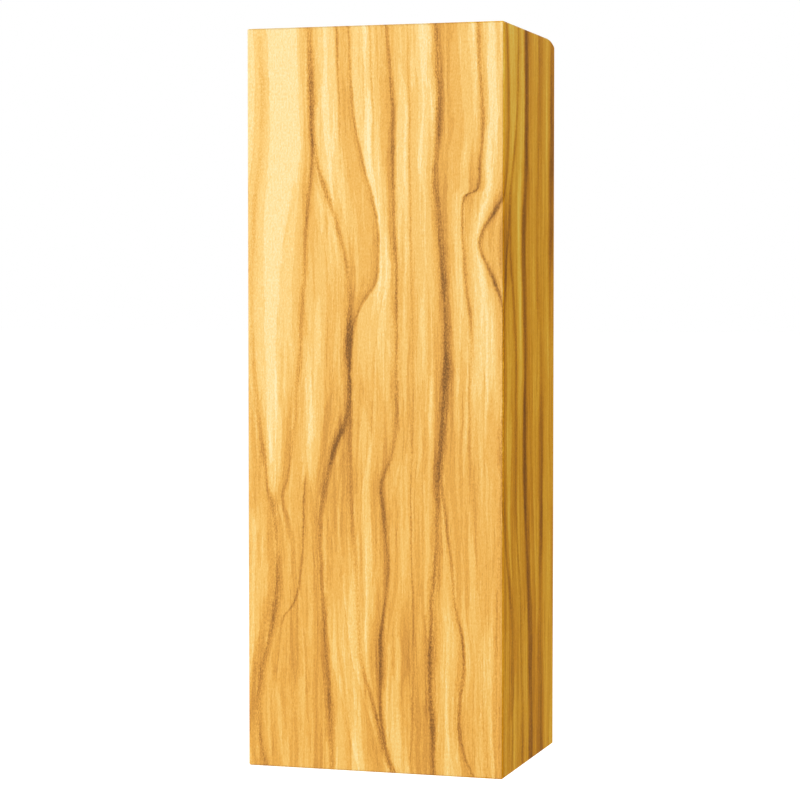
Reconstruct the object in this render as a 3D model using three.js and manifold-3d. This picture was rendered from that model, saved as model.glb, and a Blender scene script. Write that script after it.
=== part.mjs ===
// A mezuzah case: a plain block of olive wood that slides down over a back plate screwed to the doorpost.
//
// The back plate is a dovetail key. The case body has the matching groove routed into its back, open at the
// bottom end and blind at the top, so the case hangs on the top end of the plate and lifts off upwards.
// A bore up the middle from the bottom end holds the parchment scroll, rolled in a clear tube with two caps.
// A turned plug closes the bore: it grips the lower cap, so pulling the plug draws the scroll out with it.
//
// Millimetres. X runs across the front, Y from the front towards the doorpost, Z up. The origin is on the
// face that lies against the doorpost, midway between the two screws and at half the case's height.
import * as THREE from "three";
import { mergeVertices } from "three/addons/utils/BufferGeometryUtils.js";
import Module from "manifold-3d";

const wasm = await Module();
wasm.setup();

// ---- driving dimensions ----
const RUNNING_GAP = 0.3; // between a piece and the one that it slides in or rests on
const CASE = { width: 43, depth: 34.5, height: 120, easedEdge: 0.25, backRadius: 1, standOff: 0.5 };
const SANDED_CORNER = [2.2, 7.5]; // how far the top end's back corner is sanded away: down, and forwards
const PLATE = { width: 27, thickness: 6, cornerRadius: 6, topEnd: 54 };
const DOVETAIL_SLOPE = Math.tan(THREE.MathUtils.degToRad(14)); // a 14 degree dovetail cutter
const BORE = { axisY: -20, depth: 109.5 };
const PLUG = { height: 10, floor: 4, wall: 1.5, easedEdge: 0.4 };
const PINCH_SCOOP = { ballRadius: 6, depth: 2.5 };
const SCREW = {
  length: 20,
  headRadius: 3.5,
  rimHeight: 0.35,
  threadRadius: 1.75,
  tipLength: 4,
  spacing: 84,
  recessWidth: 0.9,
  recessSpan: 4,
  recessDepth: 1.5,
};
const TUBE = { outerRadius: 7, wall: 0.6, length: 101.4 };
const CAP = { wall: 0.7, end: 1, skirt: 8 };
const SCROLL = { height: 100, thickness: 0.4, innerRadius: 2, pitch: 0.9, turns: 4 };
const ROUND_SIDES = 48; // sides of everything turned
const ARC_STEPS = 6; // straight steps in a quarter-round corner

// ---- places worked out from them ----
const caseBottom = -CASE.height / 2;
const caseBack = -CASE.standOff;
const plateBottom = caseBottom + RUNNING_GAP;
const plateFront = -PLATE.thickness;
const grooveFloor = plateFront - RUNNING_GAP;
const capInnerRadius = TUBE.outerRadius + RUNNING_GAP;
const capOuterRadius = capInnerRadius + CAP.wall;
const boreRadius = capOuterRadius + RUNNING_GAP;
const plugRadius = boreRadius + PLUG.wall;
const capBottom = caseBottom + PLUG.floor + RUNNING_GAP;
const tubeBottom = capBottom + CAP.end + RUNNING_GAP;

// ---- materials ----
const finish = (color, roughness, metalness = 0) =>
  new THREE.MeshStandardMaterial({ color, roughness, metalness });
const oliveWood = finish(0xe0b368, 0.55);
const brass = finish(0xc9a24a, 0.35, 1);
const parchment = finish(0xeee0bf, 0.7);
const naturalPlastic = finish(0xe9e8e2, 0.45);
const clearPlastic = Object.assign(finish(0xf2f6f7, 0.12), { transparent: true, opacity: 0.3 });

// ---- geometry helpers ----

// A closed three.js geometry as a manifold-3d solid, for a cut.
function solidOf(geometry) {
  const bare = geometry.index ? geometry.toNonIndexed() : geometry.clone();
  bare.deleteAttribute("normal");
  bare.deleteAttribute("uv");
  const merged = mergeVertices(bare, 1e-4);
  return new wasm.Manifold(
    new wasm.Mesh({
      numProp: 3,
      vertProperties: merged.attributes.position.array,
      triVerts: new Uint32Array(merged.index.array),
    }),
  );
}

// A solid with geometries cut out of it.
function cut(solid, ...tools) {
  const made = tools.reduce((left, tool) => left.subtract(solidOf(tool)), solid).getMesh();
  return new THREE.BufferGeometry()
    .setAttribute("position", new THREE.BufferAttribute(new Float32Array(made.vertProperties), 3))
    .setIndex(new THREE.BufferAttribute(new Uint32Array(made.triVerts), 1));
}

// The outline in X and Z of a flat piece with a square bottom end and round top corners.
function archOutline({ halfWidth, bottom, top, topRadius }) {
  const path = new THREE.Shape();
  path.moveTo(-halfWidth, bottom);
  path.lineTo(halfWidth, bottom);
  path.lineTo(halfWidth, top - topRadius);
  path.absarc(halfWidth - topRadius, top - topRadius, topRadius, 0, Math.PI / 2);
  path.lineTo(-halfWidth + topRadius, top);
  path.absarc(-halfWidth + topRadius, top - topRadius, topRadius, Math.PI / 2, Math.PI);
  const points = path.getPoints(ARC_STEPS);
  return points.filter((point, i) => point.distanceTo(points[(i + 1) % points.length]) > 1e-6);
}

// A solid between two matching outlines in X and Z: the front one at low Y and the back one at high Y.
function loft(front, back) {
  const count = front.points.length;
  const place = ({ points, y }) => points.flatMap((p) => [p.x, y, p.y]);
  const ends = THREE.ShapeUtils.triangulateShape(front.points, []);
  const index = ends.flatMap(([a, b, c]) => [a, b, c, count + a, count + c, count + b]);
  for (let i = 0; i < count; i++) {
    const next = (i + 1) % count;
    index.push(i, count + i, count + next, i, count + next, next);
  }
  return new THREE.BufferGeometry()
    .setAttribute("position", new THREE.Float32BufferAttribute([...place(front), ...place(back)], 3))
    .setIndex(index);
}

// A solid of revolution about Z from a closed profile of [radius, z] points, anticlockwise in that plane.
function turned(profile) {
  const points = profile.map(([radius, z]) => new THREE.Vector2(radius, z));
  return new THREE.LatheGeometry([...points, points[0]], ROUND_SIDES).rotateX(Math.PI / 2);
}

// The dovetail key, which is also the shape of its groove: each side and the top end slope outwards
// from the back towards the front. y runs from front to back, and grow widens the shape all round.
function dovetail({ front, back, bottom, grow = 0 }) {
  const section = (y) => {
    const offset = grow - y * DOVETAIL_SLOPE;
    return {
      y,
      points: archOutline({
        halfWidth: PLATE.width / 2 + offset,
        bottom,
        top: PLATE.topEnd + offset,
        topRadius: PLATE.cornerRadius + offset,
      }),
    };
  };
  return loft(section(front), section(back));
}

// ---- sub-parts ----

// The block: crisp edges round the show face and softer ones round the back, the back corner of its top end
// sanded round, the dovetail groove, the scroll bore with a wider mouth for the plug, and a scoop on each side
// of the mouth so that a finger and thumb can pinch the plug. Its outside is what three prisms, one along each
// axis, have in common.
function caseBodyGeometry() {
  const { width, depth, height, easedEdge, backRadius } = CASE;
  const eased = [easedEdge, easedEdge];
  const soft = [backRadius, backRadius];
  const outline = (across, deep, highCorner, lowCorner) => {
    const [x, y] = [across / 2, deep / 2];
    const path = new THREE.Shape();
    path.moveTo(-x, -y + easedEdge);
    path.lineTo(-x + easedEdge, -y);
    path.lineTo(x - easedEdge, -y);
    path.lineTo(x, -y + easedEdge);
    path.absellipse(x - highCorner[0], y - highCorner[1], ...highCorner, 0, Math.PI / 2);
    path.absellipse(-x + lowCorner[0], y - lowCorner[1], ...lowCorner, Math.PI / 2, Math.PI);
    return path;
  };
  const prism = (section, length, curveSegments) =>
    new THREE.ExtrudeGeometry(section, { depth: length, curveSegments, bevelEnabled: false }).translate(
      0,
      0,
      -length / 2,
    );
  const longer = 1.1; // past the ends of the block
  const fromAbove = prism(outline(width, depth, soft, soft), height * longer, ARC_STEPS);
  const fromSide = prism(outline(height, depth, soft, SANDED_CORNER), width * longer, ARC_STEPS)
    .rotateY(Math.PI / 2); // which turns the outline's low corner to the top
  const fromFront = prism(outline(width, height, eased, eased), depth * longer, 1).rotateX(Math.PI / 2);
  const block = [fromSide, fromFront]
    .reduce((shape, other) => shape.intersect(solidOf(other)), solidOf(fromAbove))
    .translate([0, caseBack - depth / 2, 0]);
  const overshoot = 5;
  const groove = dovetail({
    front: grooveFloor,
    back: caseBack + overshoot,
    bottom: caseBottom - overshoot,
    grow: RUNNING_GAP,
  });
  const bore = turned([
    [0, -overshoot],
    [plugRadius + RUNNING_GAP, -overshoot],
    [plugRadius + RUNNING_GAP, PLUG.height + RUNNING_GAP],
    [boreRadius, PLUG.height + RUNNING_GAP],
    [boreRadius, BORE.depth],
    [0, BORE.depth],
  ]).translate(0, BORE.axisY, caseBottom);
  const scoops = [-1, 1].map((side) =>
    new THREE.SphereGeometry(PINCH_SCOOP.ballRadius, 24, 16).translate(
      side * plugRadius,
      BORE.axisY,
      caseBottom + PINCH_SCOOP.depth - PINCH_SCOOP.ballRadius,
    ),
  );
  return cut(block, groove, bore, ...scoops);
}

// The dovetail key, with a countersunk hole for each screw.
function backPlateGeometry(screwHeights) {
  const overshoot = 1;
  const holeRadius = SCREW.threadRadius + RUNNING_GAP;
  const sinkRadius = SCREW.headRadius + RUNNING_GAP;
  const holes = screwHeights.map((z) =>
    turned([
      [0, -overshoot],
      [sinkRadius, -overshoot],
      [sinkRadius, SCREW.rimHeight + RUNNING_GAP],
      [holeRadius, SCREW.rimHeight + RUNNING_GAP + sinkRadius - holeRadius],
      [holeRadius, PLATE.thickness + overshoot],
      [0, PLATE.thickness + overshoot],
    ])
      .rotateX(-Math.PI / 2)
      .translate(0, plateFront, z),
  );
  return cut(solidOf(dovetail({ front: plateFront, back: 0, bottom: plateBottom })), ...holes);
}

// A countersunk screw with a cross recess. It is modelled upright, head down, and laid along Y.
function screwGeometry() {
  const { headRadius, rimHeight, threadRadius, length, tipLength } = SCREW;
  const shank = turned([
    [0, 0],
    [headRadius, 0],
    [headRadius, rimHeight],
    [threadRadius, rimHeight + headRadius - threadRadius],
    [threadRadius, length - tipLength],
    [0, length],
  ]);
  const { recessWidth, recessSpan, recessDepth } = SCREW;
  const slot = new THREE.BoxGeometry(recessSpan, recessWidth, 2 * recessDepth);
  const crossSlot = slot.clone().rotateZ(Math.PI / 2);
  return cut(solidOf(shank), slot, crossSlot).rotateX(-Math.PI / 2);
}

// The turned plug: a cup with its closed end down, flush with the bottom of the case.
function plugGeometry() {
  const { height, floor, easedEdge } = PLUG;
  return turned([
    [0, 0],
    [plugRadius - easedEdge, 0],
    [plugRadius, easedEdge],
    [plugRadius, height],
    [boreRadius, height],
    [boreRadius, floor],
    [0, floor],
  ]);
}

// The clear tube round the scroll, open at both ends.
function tubeGeometry() {
  const { outerRadius, wall, length } = TUBE;
  return turned([
    [outerRadius - wall, 0],
    [outerRadius, 0],
    [outerRadius, length],
    [outerRadius - wall, length],
  ]);
}

// An end cap that fits over the tube's end, modelled with its closed end down.
function capGeometry() {
  return turned([
    [0, 0],
    [capOuterRadius, 0],
    [capOuterRadius, CAP.end + CAP.skirt],
    [capInnerRadius, CAP.end + CAP.skirt],
    [capInnerRadius, CAP.end],
    [0, CAP.end],
  ]);
}

// The rolled parchment: a spiral strip of constant thickness, extruded to the scroll's height.
function scrollGeometry() {
  const stepsPerTurn = 24;
  const steps = Math.round(SCROLL.turns * stepsPerTurn);
  const spiral = (offset) =>
    Array.from({ length: steps + 1 }, (_, i) => {
      const turn = i / stepsPerTurn;
      const radius = SCROLL.innerRadius + SCROLL.pitch * turn + offset;
      const angle = 2 * Math.PI * turn;
      return new THREE.Vector2(radius * Math.cos(angle), radius * Math.sin(angle));
    });
  const strip = [...spiral(SCROLL.thickness), ...spiral(0).reverse()];
  return new THREE.ExtrudeGeometry(new THREE.Shape(strip), {
    depth: SCROLL.height,
    bevelEnabled: false,
  });
}

// ---- assembly ----
function part(name, geometry, material, place = [0, 0, 0], turn = [0, 0, 0]) {
  const mesh = new THREE.Mesh(geometry, material);
  mesh.name = name;
  mesh.position.set(...place);
  mesh.rotation.set(...turn);
  return mesh;
}

// What stays on the doorpost.
const fixedSide = new THREE.Group();
const screwHeights = [SCREW.spacing / 2, -SCREW.spacing / 2];
fixedSide.add(part("back_plate", backPlateGeometry(screwHeights), oliveWood));
["upper_mounting_screw", "lower_mounting_screw"].forEach((name, i) => {
  fixedSide.add(part(name, screwGeometry(), brass, [0, plateFront + RUNNING_GAP, screwHeights[i]]));
});

// What the plug draws out: the scroll in its capped tube, stood in the plug.
const scrollPack = new THREE.Group();
scrollPack.position.set(0, BORE.axisY, 0);
const capTop = tubeBottom + TUBE.length + RUNNING_GAP + CAP.end;
const scrollBottom = tubeBottom + (TUBE.length - SCROLL.height) / 2;
scrollPack.add(
  part("base_plug", plugGeometry(), oliveWood, [0, 0, caseBottom]),
  part("lower_tube_cap", capGeometry(), naturalPlastic, [0, 0, capBottom]),
  part("scroll_tube", tubeGeometry(), clearPlastic, [0, 0, tubeBottom]),
  part("upper_tube_cap", capGeometry(), naturalPlastic, [0, 0, capTop], [Math.PI, 0, 0]),
  part("parchment_scroll", scrollGeometry(), parchment, [0, 0, scrollBottom]),
);

// What lifts off the back plate.
const liftingSide = new THREE.Group();
liftingSide.add(part("case_body", caseBodyGeometry(), oliveWood), scrollPack);

const mezuzahCase = new THREE.Group();
mezuzahCase.add(fixedSide, liftingSide);

export default mezuzahCase;
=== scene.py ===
"""A mezuzah case: an olive-wood block that hangs on a screwed back plate and holds a parchment scroll.

The CAD frame is in metres, with the show face towards -Y, the doorpost towards +Y and +Z up.
"""

import math
from types import SimpleNamespace

import bmesh
import bpy
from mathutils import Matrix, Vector


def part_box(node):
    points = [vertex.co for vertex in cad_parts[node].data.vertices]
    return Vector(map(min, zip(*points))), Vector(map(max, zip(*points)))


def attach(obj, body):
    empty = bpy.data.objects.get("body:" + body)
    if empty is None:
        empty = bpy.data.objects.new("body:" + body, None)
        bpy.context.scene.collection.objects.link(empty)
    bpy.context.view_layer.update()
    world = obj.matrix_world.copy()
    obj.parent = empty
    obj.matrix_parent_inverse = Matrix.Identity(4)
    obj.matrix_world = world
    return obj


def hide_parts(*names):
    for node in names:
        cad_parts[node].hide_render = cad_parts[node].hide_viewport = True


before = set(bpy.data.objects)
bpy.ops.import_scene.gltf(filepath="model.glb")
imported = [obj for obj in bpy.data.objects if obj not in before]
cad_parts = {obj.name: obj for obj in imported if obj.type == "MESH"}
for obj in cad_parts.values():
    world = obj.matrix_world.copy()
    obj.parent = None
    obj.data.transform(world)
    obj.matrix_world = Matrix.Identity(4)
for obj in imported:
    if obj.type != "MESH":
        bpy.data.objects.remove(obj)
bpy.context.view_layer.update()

MM = 0.001
block_low, block_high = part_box("case_body")
WIDTH = (block_high.x - block_low.x) / MM
HEIGHT = (block_high.z - block_low.z) / MM


# ---------------------------------------------------------------- shader graph helper
class Graph:
    """A thin wrapper that builds a node tree with one call per node."""

    def __init__(self, tree):
        self.tree = tree
        tree.nodes.clear()

    def add(self, kind, inputs=None, **settings):
        node = self.tree.nodes.new(kind)
        for key, value in settings.items():
            setattr(node, key, value)
        for key, value in (inputs or {}).items():
            self.feed(node.inputs[key], value)
        return node

    def feed(self, socket, value):
        if isinstance(value, bpy.types.NodeSocket):
            self.tree.links.new(value, socket)
        else:
            socket.default_value = value

    def math(self, operation, *values, clamp=False):
        node = self.add("ShaderNodeMath", operation=operation, use_clamp=clamp)
        for socket, value in zip(node.inputs, values):
            self.feed(socket, value)
        return node.outputs[0]

    def total(self, *values):
        result = values[0]
        for value in values[1:]:
            result = self.math("ADD", result, value)
        return result

    def times(self, a, b):
        return self.math("MULTIPLY", a, b)

    def minus(self, a, b):
        return self.math("SUBTRACT", a, b)

    def line(self, value, slope, start):
        """value * slope + start."""
        return self.math("MULTIPLY_ADD", value, slope, start)

    def swing(self, value, amount):
        """A noise, which stays near 0.5, as a swing of amount about zero."""
        return self.line(value, amount, -amount / 2)

    def bell(self, value):
        """1 at zero, falling away to 0 on both sides."""
        return self.math("EXPONENT", self.times(self.times(value, value), -1.0))

    def vector(self, x=0.0, y=0.0, z=0.0):
        return self.add("ShaderNodeCombineXYZ", {"X": x, "Y": y, "Z": z}).outputs[0]

    def split(self, vector):
        """The x, y and z of a vector."""
        return tuple(self.add("ShaderNodeSeparateXYZ", {"Vector": vector}).outputs)

    def noise(self, vector, scale=1.0, detail=2.0, roughness=0.5):
        return self.add("ShaderNodeTexNoise", {
            "Vector": vector,
            "Scale": scale,
            "Detail": detail,
            "Roughness": roughness,
        }).outputs[0]

    def curve(self, value, points):
        """A smooth curve through (input, output) points, both from 0 to 1."""
        node = self.add("ShaderNodeFloatCurve", {"Value": value})
        shape = node.mapping.curves[0]
        points = sorted(points)
        while len(shape.points) < len(points):
            shape.points.new(0.5, 0.5)
        for place, (x, y) in zip(shape.points, points):
            place.location = (x, y)
        node.mapping.update()
        return node.outputs[0]

    def between(self, value, low, high, to_low=0.0, to_high=1.0, smooth=False):
        """value's place from low to high, as a number from to_low to to_high."""
        return self.add("ShaderNodeMapRange", {
            "Value": value,
            "From Min": low,
            "From Max": high,
            "To Min": to_low,
            "To Max": to_high,
        }, interpolation_type="SMOOTHSTEP" if smooth else "LINEAR").outputs[0]

    def ramp(self, value, stops):
        """A colour ramp through (place, linear colour) stops."""
        node = self.add("ShaderNodeValToRGB", {"Fac": value})
        elements = node.color_ramp.elements
        while len(elements) < len(stops):
            elements.new(0.5)
        for element, (place, colour) in zip(elements, sorted(stops)):
            element.position = place
            element.color = (*colour, 1.0)
        return node.outputs[0]

    def mix(self, factor, a, b, blend="MIX"):
        node = self.add("ShaderNodeMix", data_type="RGBA", blend_type=blend)
        self.feed(node.inputs[0], factor)
        self.feed(node.inputs[6], a)
        self.feed(node.inputs[7], b)
        return node.outputs[2]

    def tint(self, colour, by):
        return self.mix(1.0, colour, (*by, 1.0), "MULTIPLY")

    def mix_shader(self, share, a, b):
        node = self.add("ShaderNodeMixShader", {"Fac": share})
        self.tree.links.new(a, node.inputs[1])
        self.tree.links.new(b, node.inputs[2])
        return node.outputs[0]


def material(name):
    """A new material, its graph and its Principled shader."""
    made = bpy.data.materials.new(name)
    made.use_nodes = True
    graph = Graph(made.node_tree)
    shader = graph.add("ShaderNodeBsdfPrincipled")
    graph.add("ShaderNodeOutputMaterial", {"Surface": shader.outputs[0]})
    return made, graph, shader


def add_bump(graph, shader, relief, strength, distance):
    """Fine relief in the shader's normal; distance is in metres."""
    bump = graph.add("ShaderNodeBump", {"Height": relief, "Strength": strength, "Distance": distance})
    graph.feed(shader.inputs["Normal"], bump.outputs[0])


# ---------------------------------------------------------------- olive wood
# The block is cut from one board. Its growth rings are sheets that stand upright and cross the block
# at about 45 degrees, bowed a little, so a ring leaves the front and reappears on the left side, and
# one that leaves the right side reappears on the back. A ring is named by where it comes out on the
# unrolled show surface: millimetres from the front's left edge, on round the right-hand edge.
RING_BOW = 0.003


def ring(across):
    """The ring coordinate at a distance along the unrolled front and right side."""
    bow = across if across < WIDTH else 2 * WIDTH - across
    return across + RING_BOW * bow * bow


# The rings that the veins' curves cover.
LOW_RING, HIGH_RING = ring(-8.0), ring(86.0)

# A vein's dark line and the brown band round it, as multiples of the widths and strengths listed below.
CORE_WIDTH = 1.2
CORE_STRENGTH = 0.62
BAND_WIDTH = 0.75
BAND_STRENGTH = 0.38
# A hairline's half width in mm.
HAIR_WIDTH = 0.22
# How far the rings stray from true sheets, and how far their edges fray, in mm.
WANDER, FRAY = 0.9, 0.45
# One step of tone, and how much the ground, the veins, the fibres and the flecks each count, where 1 is
# the whole way from the palest to the darkest wood.
TONE_STEP = 0.085
GROUND_STRENGTH, VEIN_STRENGTH, FIBRE_STRENGTH, FLECK_STRENGTH = 0.6, 0.60, 0.28, 0.38
# The tone at mid height, and how much paler the top is than the foot: a painted sheen of the key light, which
# shines from above.
MIDDLE_TONE, PAINTED_SHEEN_TOP = 0.082, 0.14

# The dark veins, left to right. path: (height above mid, distance along the unrolled surface), in mm.
# dark: (height, strength from 0 to 1). width: of the line. left and right: how far the brown band
# spreads to each side, and wash: how strong it is.
VEINS = [
    {
        "path": [(60, 2), (45, 2.5), (30, 1.2), (20, 0.7), (10, 0.7), (0, 1.5), (-10, 2.8), (-14, 3.3),
                 (-17.5, 4.3), (-26, 5.1), (-32, 4.8), (-38, 3.8), (-45, 2.2), (-52, 1.7), (-60, 3)],
        "dark": [(60, 0.1), (40, 0.3), (10, 0.25), (-5, 0.35), (-16, 0.6), (-28, 0.6), (-38, 0.7),
                 (-60, 0.55)],
        "width": 0.34, "left": 2.6, "right": 1.2, "wash": 0.8,
    },
    {
        "path": [(60, 10.4), (46, 10.8), (40, 11.1), (36, 10.8), (30, 10.3), (14, 9.3), (1.5, 8.4),
                 (-9, 7.5), (-13, 6.7), (-16, 5.8), (-20, 7), (-30, 8), (-45, 8.6), (-60, 9)],
        "dark": [(60, 0.35), (44, 0.5), (34, 0.7), (24, 0.45), (0, 0.4), (-12, 0.55), (-18, 0.35),
                 (-30, 0.25), (-60, 0.12)],
        "width": 0.25, "left": 1.6, "right": 0.8, "wash": 0.5,
    },
    {
        "path": [(60, 10.8), (46, 11.2), (40, 11.6), (34, 13.2), (29, 15), (23, 16.8), (17.5, 17.4),
                 (11, 17.2), (0, 17.3), (-3, 16.7), (-7.5, 15), (-12.5, 13.5), (-18, 12.6), (-26, 12.5),
                 (-34, 13), (-42, 13.5), (-50, 14.1), (-60, 14.5)],
        "dark": [(60, 0.75), (48, 0.8), (38, 0.75), (24, 0.6), (14, 0.8), (4, 0.95), (-2, 0.9),
                 (-8, 0.95), (-14, 0.6), (-22, 0.75), (-34, 0.75), (-46, 0.65), (-60, 0.55)],
        "width": 0.32, "left": 1.3, "right": 1.0, "wash": 0.6,
    },
    {
        "path": [(60, 17.2), (53, 17.6), (46, 18), (38, 19.7), (32, 21.3), (28, 22.2), (22, 22.1),
                 (19, 21.7), (16.5, 20), (13.5, 18.5), (8, 17.7), (0, 17.6), (-3, 17.6), (-10, 17.6),
                 (-18, 17.8), (-26, 18.4), (-35, 18.9), (-42, 19.2), (-48, 21), (-52, 22.1),
                 (-56, 23.1), (-60, 24.6)],
        "dark": [(60, 0.6), (50, 0.65), (36, 0.6), (22, 0.5), (14, 0.45), (4, 0.5), (-8, 0.45),
                 (-30, 0.4), (-44, 0.5), (-54, 0.7), (-60, 0.6)],
        "width": 0.24, "left": 1.2, "right": 0.5, "wash": 0.45,
    },
    {
        "path": [(60, 23.6), (53, 24.2), (45, 24.6), (36, 24.7), (28, 24.9), (20, 25.3), (11, 25.3),
                 (0, 25.4), (-5, 25.1), (-9, 24.4), (-13, 22.8), (-18, 23.1), (-23, 23.6),
                 (-27.5, 23.9), (-32, 23.4), (-38, 22.7), (-45, 22.6), (-51.5, 22.7), (-55.5, 23.4),
                 (-60, 25.2)],
        "dark": [(60, 0.6), (48, 0.65), (32, 0.75), (18, 0.85), (2, 0.8), (-8, 0.5), (-14, 0.6),
                 (-26, 0.5), (-34, 0.7), (-46, 0.85), (-60, 0.8)],
        "width": 0.26, "left": 1.5, "right": 0.9, "wash": 0.5,
    },
    {
        "path": [(60, 31.8), (53, 32), (46, 32.2), (41, 31.8), (36.5, 31.5), (30, 32.2), (24, 32.7),
                 (17, 33.3), (11, 33.5), (0, 33.2), (-11, 32.3), (-19, 32.2), (-26.5, 31.8),
                 (-33.5, 31.2), (-40, 31), (-46, 31), (-52.5, 31.3), (-60, 31.7)],
        "dark": [(60, 0.8), (50, 0.95), (40, 0.6), (34, 0.5), (24, 0.7), (12, 0.9), (0, 0.95),
                 (-10, 0.8), (-22, 0.9), (-32, 1.0), (-46, 1.0), (-60, 0.8)],
        "width": 0.34, "left": 1.4, "right": 1.5, "wash": 0.6,
    },
    {
        "path": [(60, 32.3), (46, 32.7), (36.5, 32), (24, 33.2), (11, 34), (0, 33.7), (-11, 32.8),
                 (-16, 33.2), (-27, 34.5), (-33.5, 35.2), (-38, 36.2), (-44.5, 36.4), (-51, 35.8),
                 (-55, 36.2), (-60, 38.2)],
        "dark": [(60, 0.2), (10, 0.35), (-12, 0.45), (-20, 0.7), (-34, 0.75), (-46, 0.8), (-60, 0.6)],
        "width": 0.26, "left": 1.4, "right": 0.6, "wash": 0.45,
    },
    {
        "path": [(60, 38.7), (52, 39.1), (44, 39.6), (38, 39.2), (34.4, 39.0), (33.4, 38.5),
                 (32.9, 37.0), (32.2, 36.5), (28.5, 36.2), (22, 36.7), (17.5, 36.9), (13.5, 37.6),
                 (9, 37.7), (0, 37.4), (-20, 38.2), (-40, 39), (-60, 40.6)],
        "dark": [(60, 0.55), (48, 0.65), (38, 0.8), (32, 0.85), (24, 0.6), (14, 0.6), (6, 0.35),
                 (-20, 0.15), (-60, 0.2)],
        "width": 0.26, "left": 0.8, "right": 1.2, "wash": 0.45,
    },
    {
        "path": [(60, 44.5), (53, 45.6), (44, 45.7), (38, 45.3), (33.5, 43.6), (30, 41.4), (27, 39.7),
                 (24.5, 39.2), (21.5, 40.4), (17.5, 42.1), (15, 42.8), (10, 43), (0, 42.9), (-10, 42.7),
                 (-20, 42.4), (-32, 42), (-45, 41.7), (-60, 41.9)],
        "dark": [(60, 0.5), (44, 0.6), (34, 0.55), (28, 0.85), (20, 0.85), (14, 0.8), (4, 0.45),
                 (-16, 0.3), (-60, 0.35)],
        "width": 0.28, "left": 0.8, "right": 0.9, "wash": 0.5,
    },
    {
        "path": [(60, 52), (50, 51.7), (44, 50.7), (37.5, 48.6), (32.5, 46.8), (27.5, 46.2), (22, 44.6),
                 (14.5, 43.6), (5, 43.4), (-5, 43.4), (-21.5, 43.9), (-29, 46.5), (-34.5, 48.4),
                 (-45, 48.7), (-60, 48.8)],
        "dark": [(60, 0.8), (44, 0.8), (30, 0.9), (18, 0.95), (6, 0.5), (-10, 0.5), (-24, 0.8),
                 (-36, 0.8), (-60, 0.6)],
        "width": 0.4, "left": 0.8, "right": 1.2, "wash": 0.55,
    },
    {
        "path": [(60, 52.6), (50, 52.3), (44, 51.3), (37.5, 49.2), (32.5, 47.5), (27.5, 46.9),
                 (22.5, 47.4), (17, 49.3), (10.5, 50.7), (0, 51.2), (-16.5, 51.1), (-25, 52.4),
                 (-31.5, 54), (-48, 55.1), (-60, 55.5)],
        "dark": [(60, 0.2), (30, 0.4), (20, 0.7), (0, 0.7), (-20, 0.7), (-34, 0.8), (-60, 0.7)],
        "width": 0.45, "left": 1.0, "right": 1.2, "wash": 0.5,
    },
    {
        "path": [(60, 57), (46.5, 57.3), (36, 57), (24, 55.4), (14, 56.5), (0, 56.7), (-11, 56.5),
                 (-22, 58.4), (-33.5, 59.9), (-42, 60.6), (-60, 61)],
        "dark": [(60, 0.9), (44, 1.0), (28, 0.8), (12, 0.8), (-4, 0.9), (-22, 0.8), (-40, 0.85),
                 (-60, 0.7)],
        "width": 0.8, "left": 1.4, "right": 1.8, "wash": 0.7,
    },
    {
        "path": [(60, 66.5), (45, 66), (30, 65.5), (15, 66), (5, 67.4), (-5, 68.2), (-22, 67.9),
                 (-34, 67), (-52, 68.2), (-60, 68.5)],
        "dark": [(60, 0.3), (30, 0.4), (5, 0.4), (-10, 0.7), (-40, 0.7), (-60, 0.6)],
        "width": 0.6, "left": 2.0, "right": 1.2, "wash": 0.6,
    },
    {
        "path": [(60, 75), (50, 75), (25, 74.5), (10, 75.5), (0, 76.5), (-60, 77.5)],
        "dark": [(60, 0.4), (45, 0.75), (22, 0.7), (5, 0.3), (-60, 0.2)],
        "width": 1.1, "left": 1.4, "right": 1.5, "wash": 0.7,
    },
]

# Hairlines: finer lines with no band of their own. path and dark as for the veins.
HAIRLINES = [
    {"path": [(60, 15.3), (50, 15.6), (38, 15.9), (32, 16.4)], "dark": [(60, 0.7), (45, 0.5), (36, 0.0)]},
    {"path": [(60, 20.8), (48, 21.3), (36, 21.4)], "dark": [(60, 0.6), (44, 0.5), (37, 0.0)]},
    {"path": [(58, 27.2), (32, 27.6), (7, 28.1), (-17, 27.8), (-42, 28.2), (-60, 27.6)],
     "dark": [(58, 0.4), (32, 0.6), (10, 0.3), (-17, 0.6), (-42, 0.5), (-60, 0.3)]},
    {"path": [(-10, 9.7), (-20, 9.5), (-28, 9.1), (-33, 7.8), (-35.6, 6.0), (-40, 5.6)],
     "dark": [(-12, 0.0), (-20, 0.7), (-33, 0.8), (-36, 0.5), (-39, 0.0)]},
]

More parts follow.
